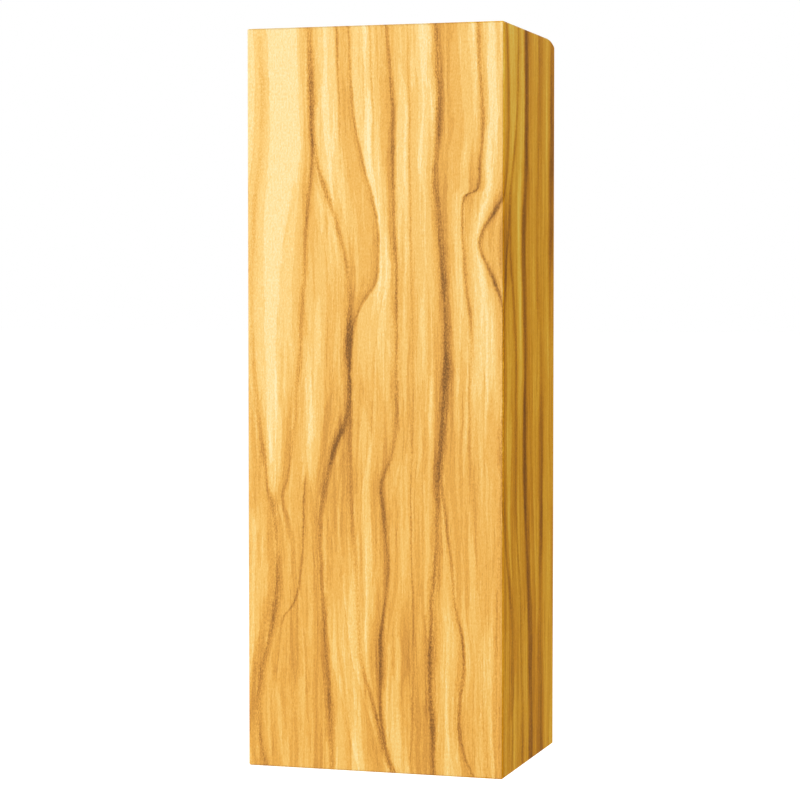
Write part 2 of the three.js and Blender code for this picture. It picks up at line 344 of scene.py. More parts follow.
# The ground tone between the veins near the top, at mid height and near the foot, as (interval, tone).
# Interval 0 to 1 lies left of the first vein, 1 to 2 between the first and second, and so on. Tone 0 is
# the palest wood and 1 the brownest.
GROUND_TOP = [(0, 0.03), (0.8, 0.05), (1, 0.25), (1.3, 0.08), (1.75, 0.15), (2, 0.5), (3.05, 0.2),
              (3.5, 0.25), (3.9, 0.45), (4.15, 0.15), (4.5, 0.15), (4.8, 0.5), (5.2, 0.35), (5.5, 0.2),
              (5.85, 0.3), (7.1, 0.6), (7.6, 0.4), (8.1, 0.3), (8.5, 0.2), (8.8, 0.3), (9, 0.5),
              (9.3, 0.15), (9.8, 0.2), (11.2, 0.2), (11.6, 0.1), (12, 0.7), (12.4, 0.4), (13, 0.5),
              (13.5, 0.25), (14, 0.6), (15, 0.4)]
GROUND_MIDDLE = [(0, 0.2), (1, 0.15), (1.4, 0.08), (1.8, 0.3), (2.2, 0.25), (2.5, 0.4), (2.85, 0.5),
                 (3.5, 0.65), (4.1, 0.45), (4.4, 0.3), (4.85, 0.45), (5.15, 0.45), (5.5, 0.25),
                 (5.85, 0.5), (7.1, 0.5), (7.6, 0.35), (8.2, 0.3), (8.6, 0.25), (9, 0.3), (10.2, 0.25),
                 (10.8, 0.3), (11.2, 0.35), (11.6, 0.2), (12, 0.6), (12.5, 0.35), (13, 0.45),
                 (13.4, 0.2), (15, 0.2)]
GROUND_FOOT = [(0, 0.32), (0.9, 0.32), (1.15, 0.25), (1.5, 0.4), (2.2, 0.3), (2.8, 0.35), (3.2, 0.15),
               (3.8, 0.25), (4.4, 0.3), (4.9, 0.5), (5.15, 0.2), (5.4, 0.3), (5.7, 0.5), (5.95, 0.4),
               (6.2, 0.15), (6.8, 0.3), (7.2, 0.2), (8.5, 0.25), (9.4, 0.3), (10.2, 0.25), (10.7, 0.3),
               (11.3, 0.2), (11.7, 0.3), (12, 0.6), (12.5, 0.3), (12.9, 0.5), (13.3, 0.2), (14, 0.15),
               (15, 0.15)]

# What lies between the veins and has no place of its own: growth rings, flowing streaks and flame-shaped
# patches. The patches go from broad to narrow: how fine across the grain, how fine along it, a seed, how
# soft the edge is, and how strong.
GROWTH_STRENGTH, FLOW_STRENGTH = 0.05, 0.26
FLAMES = [(0.35, 0.02, 3.0, 0.02, 0.075), (0.6, 0.028, 31.0, 0.02, 0.07), (1.1, 0.045, 57.0, 0.04, 0.05)]

# Darker clouds round the knots: height and distance along the surface, then half height and half width,
# all in mm, and how much darker.
KNOTS = [(25, 43.5, 8.0, 3.0, 0.30), (34, 38.0, 5.0, 2.0, 0.12)]

# Pale honey through golden brown to the dark brown of a vein, as (depth of tone, linear colour).
OLIVE_TONES = [
    (0.0, (0.84, 0.72, 0.43)),
    (0.1, (0.82, 0.63, 0.29)),
    (0.2, (0.80, 0.53, 0.175)),
    (0.38, (0.72, 0.39, 0.085)),
    (0.58, (0.54, 0.26, 0.055)),
    (0.78, (0.35, 0.16, 0.036)),
    (1.0, (0.20, 0.09, 0.024)),
]
# The heartwood past the right-hand edge is more golden, and its deeper, more saturated tones also paint the
# shade on the right side, which faces away from the key light.
HEART_AND_SHADE_TONES = [
    (0.0, (0.94, 0.68, 0.11)),
    (0.1, (0.91, 0.57, 0.06)),
    (0.2, (0.84, 0.45, 0.025)),
    (0.38, (0.69, 0.30, 0.004)),
    (0.58, (0.49, 0.19, 0.0)),
    (0.78, (0.31, 0.115, 0.0)),
    (1.0, (0.16, 0.06, 0.0)),
]
# Redder towards the foot, where the painted sheen of the key light fades out.
FOOT_TINT = (1.0, 0.96, 0.84)
END_GRAIN_TINT = (0.80, 0.70, 0.60)
PORE_COLOUR = (0.16, 0.08, 0.04, 1.0)


def by_height(g, height, points):
    """A value given at heights above the block's middle, in mm."""
    return g.curve(height, [(z / HEIGHT + 0.5, value) for z, value in points])


def board_place(g, shift, flip):
    """Where a point lies within the board, in mm, and the noises that the whole wood shares."""
    x, y, z = g.split(g.add("ShaderNodeTexCoord").outputs["Object"])
    across = g.minus(g.times(x, 1 / MM), block_low.x / MM - shift[0])
    inward = g.minus(g.times(y, 1 / MM), block_low.y / MM - shift[1])

    # How far inside the board a point is, from the front and the right side. Deeper in, the rings lie
    # closer together and their pattern is lower down.
    buried = g.math("MAXIMUM", g.math("MINIMUM", inward, g.minus(WIDTH, across)), 0.0)
    up = g.line(z, (-1 if flip else 1) / MM, shift[2])
    up = g.line(buried, 0.95, up)
    height = g.math("MULTIPLY_ADD", up, 1 / HEIGHT, 0.5, clamp=True)
    crowding = g.line(g.noise(g.vector(up, buried, 7.0), scale=0.025, detail=1.0), 0.4, 0.1)
    wander = g.noise(g.vector(g.times(across, 1.2), g.times(inward, 1.2), up), scale=0.10, detail=3.0)
    fray = g.noise(g.vector(g.times(across, 2.0), g.times(inward, 2.0), up), scale=1.1, roughness=0.6)
    askew = g.minus(across, inward)
    rings = g.total(
        across,
        inward,
        g.times(g.times(askew, askew), RING_BOW),
        g.times(crowding, buried),
        g.swing(wander, WANDER),
        g.swing(fray, FRAY),
    )

    # Fibres are long and flecks short. Patches are where the veins come and go along their length.
    fine_across, fine_inward = g.times(across, 5.0), g.times(inward, 5.0)
    return SimpleNamespace(
        across=across,
        inward=inward,
        buried=buried,
        up=up,
        height=height,
        rings=rings,
        fibre=g.noise(g.vector(fine_across, fine_inward, g.times(up, 0.6)), detail=3.0, roughness=0.65),
        fleck=g.noise(g.vector(fine_across, fine_inward, g.times(up, 2.4)), roughness=0.7),
        patchy=g.noise(g.vector(g.times(rings, 0.35), 0.0, g.times(up, 0.11)), detail=3.0, roughness=0.6),
    )


def ring_at(g, board, path):
    """The ring that a vein's path follows at this height."""
    span = HIGH_RING - LOW_RING
    share = by_height(g, board.height, [(z, (ring(distance) - LOW_RING) / span) for z, distance in path])
    return g.line(share, span, LOW_RING)


def vein_shading(g, board, vein_rings):
    """The veins, each a dark line inside a brown band with clear edges, and the hairlines."""
    spread = g.between(board.patchy, 0.3, 0.7, 1.35, 0.65)
    shading = 0.0
    for vein, centre in zip(VEINS, vein_rings):
        off = g.times(g.minus(board.rings, centre), spread)
        strength = by_height(g, board.height, vein["dark"])
        far = g.math("ABSOLUTE", g.times(off, 1 / (CORE_WIDTH * vein["width"])))
        core = g.math("EXPONENT", g.times(g.math("POWER", far, 3.0), -1.0))
        reach = g.math("MAXIMUM", g.times(off, 1 / (BAND_WIDTH * vein["right"])),
                       g.times(off, -1 / (BAND_WIDTH * vein["left"])))
        band = g.between(reach, 1.25, 0.75, 0.0, vein["wash"] * BAND_STRENGTH, smooth=True)
        shading = g.line(g.line(core, CORE_STRENGTH, band), strength, shading)
    for hair in HAIRLINES:
        core = g.bell(g.times(g.minus(board.rings, ring_at(g, board, hair["path"])), 1 / HAIR_WIDTH))
        strength = g.math("MAXIMUM", by_height(g, board.height, hair["dark"]), 0.0)
        shading = g.line(core, g.times(strength, CORE_STRENGTH), shading)

    # They fade here and there along their length and break up into flecks.
    shading = g.times(shading, g.between(board.patchy, 0.35, 0.65, 0.62, 1.1))
    return g.times(shading, g.between(board.fleck, 0.3, 0.7, 0.55, 1.45))


def tone_between_veins(g, board, interval, intervals):
    """The ground tones listed above, blended from the foot to the top."""
    share = g.math("DIVIDE", interval, intervals)
    top, middle, foot = (g.curve(share, [(place / intervals, tone) for place, tone in points])
                         for points in (GROUND_TOP, GROUND_MIDDLE, GROUND_FOOT))
    above = g.between(board.height, 0.5, 0.85, smooth=True)
    below = g.between(board.height, 0.5, 0.15, smooth=True)
    return g.line(g.minus(foot, middle), below, g.line(g.minus(top, middle), above, middle))


def growth_rings(g, board, interval):
    """Growth rings that flow with the veins. Each starts pale and sharp and darkens to its far edge, and
    they slide past each other along the height."""
    per_interval, slide, seed = 3.2, 5.0, 3.0
    sliding = g.noise(g.vector(g.times(interval, per_interval * 0.3), seed, g.times(board.up, 0.012)),
                      detail=1.0)
    count = g.total(g.times(interval, per_interval), g.times(sliding, slide), g.times(board.fleck, 0.12),
                    seed)
    number = g.math("FLOOR", count)
    shade = g.add("ShaderNodeTexWhiteNoise", {"W": number}, noise_dimensions="1D").outputs[0]
    return g.total(g.swing(shade, 1.1), g.swing(g.minus(count, number), 0.9))


def flames(g, board, flowing, fine_across, fine_up, seed, edge):
    """Flame-shaped patches with clear edges, and a finer line where each one ends."""
    level = g.noise(g.vector(g.line(flowing, fine_across, seed), g.times(board.fleck, 0.05),
                             g.times(board.up, fine_up)), roughness=0.4)
    patch = g.between(level, 0.5 - edge, 0.5 + edge, -0.5, 0.5, smooth=True)
    rim = g.bell(g.times(g.minus(level, 0.5), 1 / 0.018))
    return g.line(rim, 0.4, patch)


def ground_figure(g, board, interval):
    """The growth rings, streaks and flames between the veins, which are calmest high up on the left."""
    flowing = g.total(g.times(board.rings, 0.5), g.times(interval, 1.6))
    flow = g.noise(g.vector(g.times(board.rings, 1.6), g.times(board.buried, 0.04), g.times(board.up, 0.035)),
                   detail=4.0, roughness=0.65)
    figure = g.total(
        g.times(growth_rings(g, board, interval), GROWTH_STRENGTH),
        *[g.times(flames(g, board, flowing, *look), strength) for *look, strength in FLAMES],
        g.swing(flow, FLOW_STRENGTH),
    )
    on_left = g.between(board.rings, ring(11.0), ring(8.5), smooth=True)
    calm = g.between(g.times(board.height, on_left), 0.4, 0.75, 1.0, 0.15)
    calm = g.times(calm, g.between(board.height, 0.9, 0.4, 0.85, 1.3))
    return g.times(figure, calm)


def knot_clouds(g, board, ground):
    """The ground, darker round each knot."""
    for z, distance, half_height, half_width, darker in KNOTS:
        above = g.line(board.up, 1 / half_height, -z / half_height)
        beside = g.line(board.rings, 1 / half_width, -ring(distance) / half_width)
        off = g.total(g.times(above, above), g.times(beside, beside))
        ground = g.line(g.math("EXPONENT", g.times(off, -1.0)), darker, ground)
    return ground


def stepped_tone(g, ground):
    """Olive wood changes tone in steps, like the contours of a map, with a thin darker line at each."""
    stairs = g.times(ground, 1 / TONE_STEP)
    tread = g.math("FLOOR", stairs)
    rise = g.minus(stairs, tread)
    stepped = g.math("ADD", tread, g.between(rise, 0.41, 0.59, smooth=True))
    contour = g.bell(g.times(g.minus(rise, 0.58), 1 / 0.09))
    return g.total(g.times(stepped, 0.8 * TONE_STEP), g.times(ground, 0.2), g.times(contour, 0.035))


def olive_wood(name, shift=(0.0, 0.0, 0.0), flip=False, tone=0.0):
    """Solid olive wood. shift moves the piece within the board, in mm, flip turns it end for end, and
    tone darkens it."""
    made, g, shader = material(name)
    board = board_place(g, shift, flip)

    # How many intervals between veins lie to the left, with one more line beyond each end.
    vein_rings = [ring_at(g, board, vein["path"]) for vein in VEINS]
    lines = [LOW_RING, *vein_rings, HIGH_RING]
    interval = g.total(*[g.between(board.rings, a, b) for a, b in zip(lines, lines[1:])])

    # The heartwood lies past the right-hand edge, and the veins stand out less there. These deeper tones and
    # fainter veins also paint the shade on the right side, away from the key light.
    heart_and_shade = g.times(g.between(board.inward, 0.0, 0.12),
                    g.between(board.across, WIDTH - 14.0, WIDTH - 2.0, smooth=True))
    shading = g.times(vein_shading(g, board, vein_rings), g.line(heart_and_shade, -0.35, 1.0))

    ground = g.total(
        g.times(tone_between_veins(g, board, interval, len(lines) - 1.0), GROUND_STRENGTH),
        ground_figure(g, board, interval),
        # painted sheen: the top paler than the foot
        g.swing(board.height, -PAINTED_SHEEN_TOP),
        MIDDLE_TONE + tone,
    )
    ground = g.math("MAXIMUM", knot_clouds(g, board, ground), 0.0)
    depth = g.math("MAXIMUM", g.total(
        stepped_tone(g, ground),
        g.times(shading, VEIN_STRENGTH),
        g.swing(board.fibre, FIBRE_STRENGTH),
        g.swing(board.fleck, FLECK_STRENGTH),
    ), 0.0)

    # The wood is redder towards the foot, where the painted sheen of the key light fades out; more golden in
    # the heart, whose deeper tones also paint the shade on the right side; and darker and pored on end grain.
    colour = g.ramp(depth, OLIVE_TONES)
    colour = g.mix(g.between(board.height, 0.7, 0.05, smooth=True), colour, g.tint(colour, FOOT_TINT))
    colour = g.mix(heart_and_shade, colour, g.ramp(depth, HEART_AND_SHADE_TONES))
    facing_up = g.split(g.add("ShaderNodeNewGeometry").outputs["True Normal"])[2]
    end_grain = g.between(g.math("ABSOLUTE", facing_up), 0.75, 0.95)
    pores = g.noise(g.vector(board.across, board.inward, g.times(board.up, 0.08)), scale=5.0, detail=1.0)
    pores = g.times(g.between(pores, 0.36, 0.30), end_grain)
    colour = g.mix(end_grain, colour, g.tint(colour, END_GRAIN_TINT))
    colour = g.mix(pores, colour, PORE_COLOUR)
    g.feed(shader.inputs["Base Color"], colour)

    g.feed(shader.inputs["Roughness"], g.total(0.5, g.times(board.fibre, 0.16), g.times(board.fleck, 0.06)))
    shader.inputs["Specular IOR Level"].default_value = 0.08
    relief = g.total(g.times(board.fibre, 0.6), g.times(board.fleck, 0.5), g.times(pores, -0.8))
    add_bump(g, shader, relief, 0.35, 0.00006)
    return made


# ---------------------------------------------------------------- camera
# A long lens, a little above mid height and to the right of the show face. Lengths are shares of the
# block's height.
AZIMUTH, ELEVATION = math.radians(17.02), math.radians(2.40)
CAMERA_DISTANCE = 3.515
AIM_HEIGHT = 0.4954
AIM_TO_LEFT = 0.007

camera_data = bpy.data.cameras.new("camera")
camera_data.lens = 113.7
camera_data.sensor_width = 36.0
camera_data.clip_start, camera_data.clip_end = 0.01, 50.0
camera = bpy.data.objects.new("camera", camera_data)
bpy.context.scene.collection.objects.link(camera)
bpy.context.scene.camera = camera

tall = block_high.z - block_low.z
to_right = Vector((math.cos(AZIMUTH), math.sin(AZIMUTH), 0))
to_camera = Vector((math.sin(AZIMUTH) * math.cos(ELEVATION), -math.cos(AZIMUTH) * math.cos(ELEVATION),
                    math.sin(ELEVATION)))
aim = (block_low + block_high) / 2 - to_right * AIM_TO_LEFT * tall
aim.z = block_low.z + AIM_HEIGHT * tall
camera.location = aim + to_camera * CAMERA_DISTANCE * tall
camera.rotation_euler = to_camera.to_track_quat("Z", "Y").to_euler()


# ---------------------------------------------------------------- floor, light and backdrop
# The floor lies below the scroll holder when it is drawn right out.
FLOOR_HEIGHT = -0.176
FLOOR_HALF_SIZE = 12.0


def plain_floor(z, half):
    """A white floor that looks blank to the camera and can be seen through from below."""
    mesh = bpy.data.meshes.new("floor")
    corners = [(-half, -half, z), (half, -half, z), (half, half, z), (-half, half, z)]
    mesh.from_pydata(corners, [], [(0, 1, 2, 3)])
    floor = bpy.data.objects.new("floor", mesh)
    bpy.context.scene.collection.objects.link(floor)
    made, g, shader = material("pale_floor")
    grain = g.noise(g.add("ShaderNodeTexCoord").outputs["Object"], scale=9.0, detail=3.0)
    g.feed(shader.inputs["Base Color"], g.ramp(grain, [(0.3, (0.88, 0.88, 0.88)), (0.7, (0.91, 0.91, 0.91))]))
    shader.inputs["Roughness"].default_value = 0.9
    lit = g.add("ShaderNodeAddShader", {
        0: shader.outputs[0],
        1: g.add("ShaderNodeEmission", {"Strength": 0.8}).outputs[0],
    }).outputs[0]
    direct = g.add("ShaderNodeLightPath").outputs["Is Camera Ray"]
    from_above = g.mix_shader(direct, shader.outputs[0], lit)
    clear = g.add("ShaderNodeBsdfTransparent").outputs[0]
    seen = g.mix_shader(g.add("ShaderNodeNewGeometry").outputs["Backfacing"], from_above, clear)
    output = next(node for node in g.tree.nodes if node.type == "OUTPUT_MATERIAL")
    g.feed(output.inputs["Surface"], seen)
    mesh.materials.append(made)


def soft_light(name, place, size, power, colour):
    """A square area light aimed at the frame's origin."""
    data = bpy.data.lights.new(name, "AREA")
    data.shape = "SQUARE"
    data.size = size
    data.energy = power
    data.color = colour
    lamp = bpy.data.objects.new(name, data)
    bpy.context.scene.collection.objects.link(lamp)
    lamp.location = place
    lamp.rotation_euler = Vector(place).to_track_quat("Z", "Y").to_euler()


plain_floor(FLOOR_HEIGHT, FLOOR_HALF_SIZE)
soft_light("key", (-0.55, -0.95, 0.35), 0.6, 11.0, (1.0, 0.985, 0.96))
soft_light("fill", (0.9, -0.25, 0.25), 0.7, 2.4, (1.0, 0.90, 0.66))
soft_light("back", (0.2, 0.9, 0.6), 0.8, 4.0, (1.0, 0.98, 0.96))

# A white backdrop that lights the part only softly.
world = bpy.data.worlds.new("studio")
world.use_nodes = True
bpy.context.scene.world = world
studio = Graph(world.node_tree)
backdrop = studio.add("ShaderNodeBackground", {"Color": (1.0, 1.0, 1.0, 1.0), "Strength": 1.0}).outputs[0]
ambient = studio.add("ShaderNodeBackground", {"Color": (1.0, 0.96, 0.90, 1.0), "Strength": 0.25}).outputs[0]
direct = studio.add("ShaderNodeLightPath").outputs["Is Camera Ray"]
studio.add("ShaderNodeOutputWorld", {"Surface": studio.mix_shader(direct, ambient, backdrop)})

bpy.context.scene.view_settings.view_transform = "Standard"


# ---------------------------------------------------------------- other materials
def object_mm(g):
    """Object coordinates in millimetres."""
    place = g.add("ShaderNodeTexCoord").outputs["Object"]
    return g.add("ShaderNodeVectorMath", {0: place, "Scale": 1 / MM}, operation="SCALE").outputs[0]


def screw_brass():
    """Brass with a little tarnish and the fine rings of turning along Y."""
    made, g, shader = material("brass_screw")
    place = object_mm(g)
    tarnish = g.noise(place, scale=0.35, detail=4.0, roughness=0.65)
    g.feed(shader.inputs["Base Color"], g.ramp(tarnish, [
        (0.3, (0.60, 0.40, 0.13)), (0.55, (0.80, 0.58, 0.22)), (0.75, (0.86, 0.66, 0.30))]))
    g.feed(shader.inputs["Roughness"], g.total(0.2, g.times(tarnish, 0.22)))
    shader.inputs["Metallic"].default_value = 1.0
    along = g.split(place)[1]
    turned = g.noise(g.vector(0.0, g.times(along, 9.0), 0.0), detail=1.0)
    add_bump(g, shader, turned, 0.25, 0.00003)
    return made


def cap_plastic():
    """Milky unpigmented polyethylene."""
    made, g, shader = material("natural_plastic")
    place = object_mm(g)
    cloud = g.noise(place, scale=0.22, detail=3.0)
    g.feed(shader.inputs["Base Color"], g.ramp(cloud, [
        (0.3, (0.72, 0.73, 0.70)), (0.7, (0.84, 0.84, 0.81))]))
    mould = g.noise(place, scale=4.0)
    g.feed(shader.inputs["Roughness"], g.total(0.32, g.times(mould, 0.22)))
    shader.inputs["Transmission Weight"].default_value = 0.25
    shader.inputs["IOR"].default_value = 1.5
    add_bump(g, shader, mould, 0.2, 0.00003)
    return made


def tube_plastic():
    """Clear plastic, extruded along Z."""
    made, g, shader = material("clear_plastic")
    x, y, z = g.split(object_mm(g))
    streak = g.noise(g.vector(g.times(x, 1.5), g.times(y, 1.5), g.times(z, 0.03)), detail=3.0)
    g.feed(shader.inputs["Base Color"], g.ramp(streak, [
        (0.35, (0.98, 0.985, 0.985)), (0.65, (1.0, 1.0, 1.0))]))
    g.feed(shader.inputs["Roughness"], g.between(streak, 0.35, 0.75, 0.02, 0.10))
    shader.inputs["Transmission Weight"].default_value = 0.97
    shader.inputs["IOR"].default_value = 1.49
    add_bump(g, shader, streak, 0.1, 0.00005)
    return made


def parchment_skin():
    """Cream parchment, cloudy and speckled with follicles."""
    made, g, shader = material("parchment")
    place = object_mm(g)
    cloud = g.noise(place, scale=0.09, detail=5.0, roughness=0.6)
    follicle = g.noise(place, scale=1.7)
    tone = g.total(cloud, g.times(g.between(follicle, 0.62, 0.75), -0.18))
    g.feed(shader.inputs["Base Color"], g.ramp(tone, [
        (0.25, (0.64, 0.43, 0.19)), (0.45, (0.88, 0.68, 0.37)), (0.65, (0.96, 0.81, 0.52))]))
    g.feed(shader.inputs["Roughness"], g.total(0.55, g.times(cloud, 0.25)))
    shader.inputs["Specular IOR Level"].default_value = 0.3
    nap = g.noise(place, scale=6.0, detail=3.0)
    add_bump(g, shader, g.total(nap, cloud), 0.35, 0.00008)
    return made


# ---------------------------------------------------------------- mesh helpers
def smooth_by_angle(thing, degrees):
    """Smooth shading, with every edge sharper than an angle kept sharp."""
    mesh = thing.data
    mesh.shade_smooth()
    bm = bmesh.new()
    bm.from_mesh(mesh)
    for edge in bm.edges:
        edge.smooth = len(edge.link_faces) == 2 and edge.calc_face_angle(0) < math.radians(degrees)
    bm.to_mesh(mesh)
    bm.free()


def piece(name, points, faces, finish, body, slot, *stands_for, smooth=35):
    """A mesh piece in millimetres in the CAD frame, riding on a body and standing for CAD nodes."""
    mesh = bpy.data.meshes.new(name)
    mesh.from_pydata([tuple(c * MM for c in point) for point in points], [], faces)
    bm = bmesh.new()
    bm.from_mesh(mesh)
    bmesh.ops.remove_doubles(bm, verts=bm.verts, dist=1e-7)
    bmesh.ops.recalc_face_normals(bm, faces=bm.faces)
    bm.to_mesh(mesh)
    bm.free()
    mesh.materials.append(finish)
    made = bpy.data.objects.new(name, mesh)
    bpy.context.scene.collection.objects.link(made)
    smooth_by_angle(made, smooth)
    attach(made, body)
    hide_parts(*stands_for)
    return made


def size_of(node):
    """Lowest and highest corner of a CAD node in millimetres."""
    low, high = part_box(node)
    return low / MM, high / MM


def around(count):
    """Each place in a closed loop with the one that follows it."""
    return [(i, (i + 1) % count) for i in range(count)]


def from_0_to_1(value):
    return min(max(value, 0.0), 1.0)


def revolve(profile, place, sides=96, wave=None):
    """Points and faces of a closed solid of revolution about Z. profile goes once round the section, as
    (radius, z) in mm; wave(angle, radius, z) may change a radius."""
    points, faces = [], []
    for i in range(sides):
        angle = 2 * math.pi * i / sides
        for radius, z in profile:
            r = wave(angle, radius, z) if wave else radius
            points.append((place[0] + r * math.cos(angle), place[1] + r * math.sin(angle), place[2] + z))
    count = len(profile)
    for i, j in around(sides):
        for k, m in around(count):
            k_on_axis, m_on_axis = profile[k][0] == 0, profile[m][0] == 0
            if k_on_axis and m_on_axis:
                continue
            if k_on_axis:
                faces.append([i * count + k, j * count + m, i * count + m])
            elif m_on_axis:
                faces.append([i * count + k, j * count + k, i * count + m])
            else:
                faces.append([i * count + k, j * count + k, j * count + m, i * count + m])
    return points, faces


def rounded(corner_a, corner, corner_b, radius, steps=4):
    """The arc that rounds off one corner of a profile."""
    a, b, c = Vector(corner_a), Vector(corner), Vector(corner_b)
    to_a, to_c = (a - b).normalized(), (c - b).normalized()
    half = to_a.angle(to_c) / 2
    reach = radius / math.tan(half)
    middle = b + (to_a + to_c).normalized() * radius / math.sin(half)
    start, end = b + to_a * reach - middle, b + to_c * reach - middle
    spokes = [start.slerp(end, t / steps) for t in range(steps + 1)]
    return [tuple(middle + spoke * radius / spoke.length) for spoke in spokes]


def profile_of(corners):
    """A closed profile from (radius, z, rounding) corners."""
    result = []
    for i, (r, z, rounding) in enumerate(corners):
        before, after = corners[i - 1], corners[(i + 1) % len(corners)]
        if rounding:
            result += rounded(before[:2], (r, z), after[:2], rounding)
        else:
            result.append((r, z))
    return result


def cut_out(target, cutter):
    """Boolean difference, applied."""
    change = target.modifiers.new("cut", "BOOLEAN")
    change.operation = "DIFFERENCE"
    change.solver = "EXACT"
    change.object = cutter
    bpy.context.view_layer.update()
    solid = bpy.data.meshes.new_from_object(target.evaluated_get(bpy.context.evaluated_depsgraph_get()))
    target.modifiers.remove(change)
    target.data = solid
    bpy.data.objects.remove(cutter)


# ---------------------------------------------------------------- the block and the back plate
def wooden(node, finish, break_edge):
    """A CAD node in wood, its sharp edges broken by a little sanding."""
    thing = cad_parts[node]
    thing.data.materials.clear()
    thing.data.materials.append(finish)
    flat = thing.modifiers.new("flat_faces", "DECIMATE")
    flat.decimate_type = "DISSOLVE"
    flat.angle_limit = math.radians(1)
    broken = thing.modifiers.new("broken_edges", "BEVEL")
    broken.width = break_edge * MM
    broken.segments = 2
    broken.limit_method = "ANGLE"
    broken.angle_limit = math.radians(40)
    broken.use_clamp_overlap = True
    normals = thing.modifiers.new("normals", "WEIGHTED_NORMAL")
    normals.keep_sharp = False
    thing.data.shade_smooth()


# ---------------------------------------------------------------- screws
# Radii over the thread and at its root, the pitch, and how far from the head's face things start, in mm.
THREAD_OUTER, THREAD_CORE, THREAD_PITCH = 1.75, 1.2, 1.25
HEAD_END, NECK_START, THREAD_START = 2.1, 2.4, 7.5
TIP_LENGTH = 4.0


def screw_stations(length, head):
    """(distance from the head's face, radius, height of the thread) along a wood screw."""
    neck = THREAD_OUTER * 0.9
    stations = [(0.0, head - 0.1, 0.0), (0.1, head, 0.0), (0.35, head, 0.0),
                (HEAD_END, THREAD_OUTER * 0.93, 0.0), (NECK_START, neck, 0.0)]
    step, run_in = THREAD_PITCH / 10, 1.2
    y = NECK_START + step
    while y < length - 0.05:
        thread = from_0_to_1((y - THREAD_START) / run_in)
        narrowing = from_0_to_1((y - THREAD_START + 0.8) / run_in)
        taper = min(1.0, (length - y) / TIP_LENGTH)
        radius = max((neck + (THREAD_CORE - neck) * narrowing) * taper, 0.04)
        stations.append((y, radius, thread * (THREAD_OUTER - THREAD_CORE) * min(1.0, taper * 1.6)))
        y += step
    return stations


def recess_wing(x, y, z, half_x, half_z):
    """One tapered wing of a cross recess, as a tool to cut with."""
    proud, depth, narrowing = 0.5, 1.7, 0.55
    corners = ((-1, -1), (1, -1), (1, 1), (-1, 1))
    wing = bmesh.new()
    top = [wing.verts.new((x + sx * half_x, y - proud, z + sz * half_z)) for sx, sz in corners]
    low = [wing.verts.new((x + sx * half_x * narrowing, y + depth, z + sz * half_z * narrowing))
           for sx, sz in corners]
    wing.faces.new(top)
    wing.faces.new(reversed(low))
    for i, j in around(4):
        wing.faces.new((top[j], top[i], low[i], low[j]))
    bmesh.ops.scale(wing, vec=(MM, MM, MM), verts=wing.verts)
    bmesh.ops.recalc_face_normals(wing, faces=wing.faces)
    mesh = bpy.data.meshes.new("recess")
    wing.to_mesh(mesh)
    wing.free()
    tool = bpy.data.objects.new("recess", mesh)
    bpy.context.scene.collection.objects.link(tool)
    return tool


def wood_screw(name, node, finish):
    """A countersunk wood screw along Y, head towards -Y: cross recess, plain neck and rolled thread."""
    low, high = size_of(node)
    x, z = (low.x + high.x) / 2, (low.z + high.z) / 2
    head = (high.x - low.x) / 2
    stations = screw_stations(high.y - low.y, head)
    sides = 40
    points, faces = [], []
    for y, radius, thread in stations:
        limit = head if y < HEAD_END else THREAD_OUTER
        for i in range(sides):
            angle = 2 * math.pi * i / sides
            phase = (y / THREAD_PITCH - i / sides) % 1.0
            crest = max(0.0, 1.0 - abs(phase - 0.5) / 0.30)
            r = min(radius + thread * crest ** 0.8, limit)
            points.append((x + r * math.cos(angle), low.y + y, z + r * math.sin(angle)))
    last = len(stations) - 1
    for row in range(last):
        for i, j in around(sides):
            faces.append([row * sides + i, row * sides + j, (row + 1) * sides + j, (row + 1) * sides + i])
    faces.append(list(range(sides)))
    tip = len(points)
    points.append((x, high.y, z))
    faces += [[last * sides + i, last * sides + j, tip] for i, j in around(sides)]
    screw = piece(name, points, faces, finish, "hanger", "brass_screw", node, smooth=50)
    for half_x, half_z in ((0.45, 1.95), (1.95, 0.45)):
        cut_out(screw, recess_wing(x, low.y, z, half_x, half_z))
    smooth_by_angle(screw, 50)


# ---------------------------------------------------------------- the scroll holder
def turned_plug(finish):
    """A turned plug with a small centre mark, a scored line round it and a socket for the tube's cap."""
    low, high = size_of("base_plug")
    centre = ((low.x + high.x) / 2, (low.y + high.y) / 2, low.z)
    radius, height = (high.x - low.x) / 2, high.z - low.z
    socket, floor = radius - 1.5, 4.0
    scored = radius - 0.12
    profile = profile_of([
        (0, 0.35, 0), (0.5, 0, 0), (radius, 0, 0.45), (radius, 1.2, 0), (scored, 1.35, 0), (scored, 1.6, 0),
        (radius, 1.75, 0), (radius, height, 0.35), (socket, height, 0.35), (socket, floor, 0.3),
        (0, floor, 0)])
    points, faces = revolve(profile, centre)
    piece("plug_turned", points, faces, finish, "scroll_holder", "olive_wood", "base_plug")


